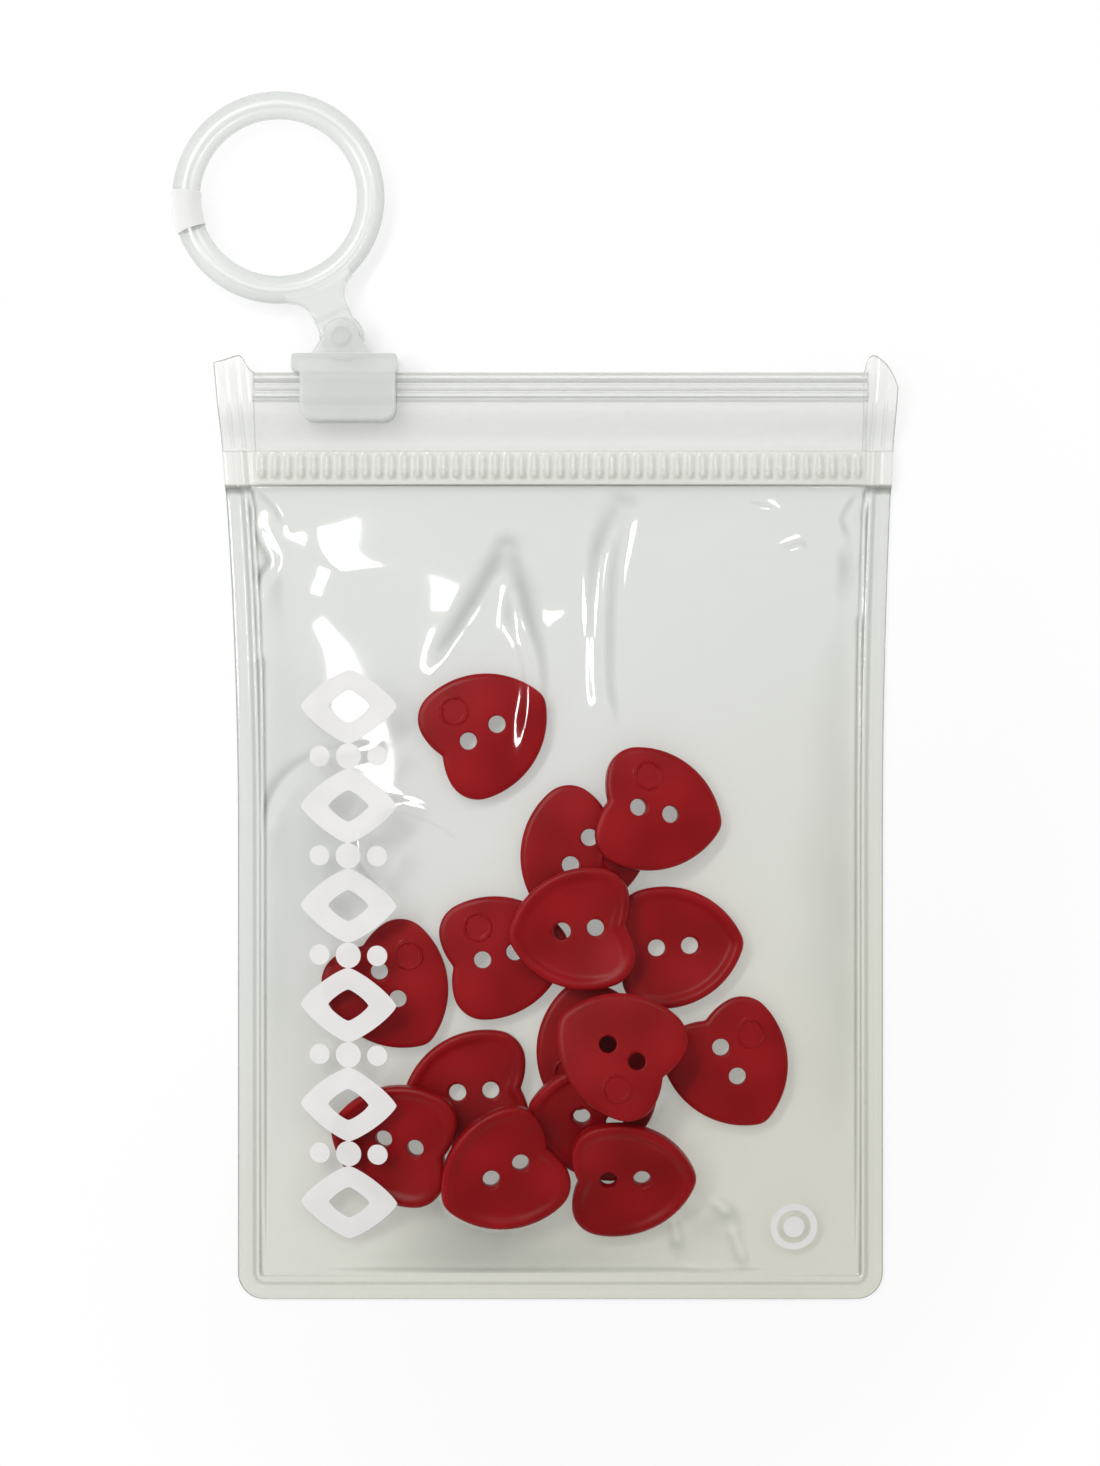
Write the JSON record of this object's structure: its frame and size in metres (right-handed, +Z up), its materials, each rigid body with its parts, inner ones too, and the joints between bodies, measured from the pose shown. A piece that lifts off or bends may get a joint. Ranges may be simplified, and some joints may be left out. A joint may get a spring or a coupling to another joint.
{
  "type": "pouch of buttons",
  "caption": "Clear vinyl pouch with a slider zip and a swinging pull ring, lying on its back and holding loose heart-shaped two-hole buttons.",
  "frame": {"origin": "middle of the back sheet's flat underside, halfway between the bottom edge and the top of the zip", "axes": "+Y towards the zip and the pull ring, +Z up through the pouch's thickness, +X to the right seen from above"},
  "size_m": [0.0897, 0.149, 0.0088],
  "materials": {
    "clear_film": "clear glossy soft vinyl film",
    "zip_vinyl": "translucent extruded vinyl",
    "frosted_plastic": "frosted translucent moulding",
    "opaque_white": "opaque white tape and print",
    "red_resin": "deep red resin with a soft shine"
  },
  "bodies": {
    "pouch": {"back_film": "clear_film", "front_film": "clear_film", "zip_rail_back": "zip_vinyl", "zip_rail_front": "zip_vinyl", "heart_button_01": "red_resin", "heart_button_02": "red_resin", "heart_button_03": "red_resin", "heart_button_04": "red_resin", "heart_button_05": "red_resin", "heart_button_06": "red_resin", "heart_button_07": "red_resin", "heart_button_08": "red_resin", "heart_button_09": "red_resin", "heart_button_10": "red_resin", "heart_button_11": "red_resin", "heart_button_12": "red_resin", "heart_button_13": "red_resin", "heart_button_14": "red_resin", "heart_button_15": "red_resin"},
    "slider": {"slider": "frosted_plastic"},
    "ring": {"pull_ring": "frosted_plastic", "ring_wrap": "opaque_white"}
  },
  "joints": [
    {"name": "slider_slide", "type": "slide", "parent": "pouch", "child": "slider", "axis": [1, 0, 0], "range_m": [-0.0045, 0.057]},
    {"name": "ring_swing", "type": "hinge", "parent": "slider", "child": "ring", "pos_m": [-0.0269, 0.0616, 0.0028], "axis": [0, 0, 1], "range_deg": [-78, 29]}
  ]
}
